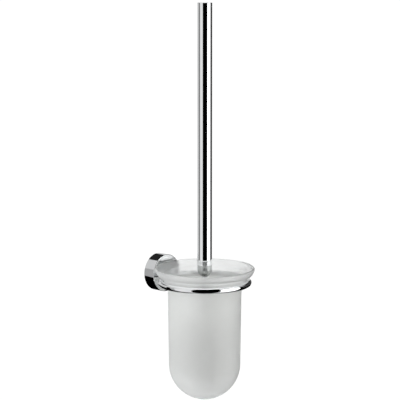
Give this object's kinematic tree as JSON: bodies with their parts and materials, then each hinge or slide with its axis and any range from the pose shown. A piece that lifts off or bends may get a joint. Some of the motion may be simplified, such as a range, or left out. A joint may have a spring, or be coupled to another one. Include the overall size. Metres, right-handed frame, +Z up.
{
  "type": "toilet brush holder",
  "caption": "Wall-hung toilet brush set: chrome bracket with a round ring, a frosted glass bowl that lifts out of it, and a long-handled brush standing in the bowl.",
  "frame": {"origin": "centre of the wall plate's back face, on the wall", "axes": "+Y into the wall, -Y into the room, +Z up along the brush handle, +X to the right as seen from the room"},
  "size_m": [0.1194, 0.1387, 0.4721],
  "materials": {
    "chrome": "polished chrome plate",
    "zinc_plate": "raw die-cast zinc, satin",
    "steel": "stainless screw finish",
    "satin_steel": "finely satined stainless",
    "stem_steel": "fine-turned stainless",
    "frosted_glass": "acid-etched, satin",
    "white_plastic": "moulded polypropylene",
    "bristle_nylon": "crimped white nylon tufts"
  },
  "bodies": {
    "bracket": {"wall_plate": "zinc_plate", "rosette": "chrome", "grub_screw": "steel", "arm_stub": "chrome", "arm_screw": "steel", "arm_washer": "steel", "holder_ring": "chrome"},
    "bowl": {"glass_bowl": "frosted_glass"},
    "brush": {"handle_tube": "chrome", "handle_top_cap": "chrome", "handle_end_plug": "satin_steel", "brush_stem": "stem_steel", "brush_core": "white_plastic", "bristles": "bristle_nylon"}
  },
  "joints": [
    {"name": "glass_lift", "type": "slide", "parent": "bracket", "child": "bowl", "axis": [0, 0, 1], "range_m": [0, 0.15]},
    {"name": "brush_lift", "type": "slide", "parent": "bowl", "child": "brush", "axis": [0, 0, 1], "range_m": [0, 0.16]}
  ]
}
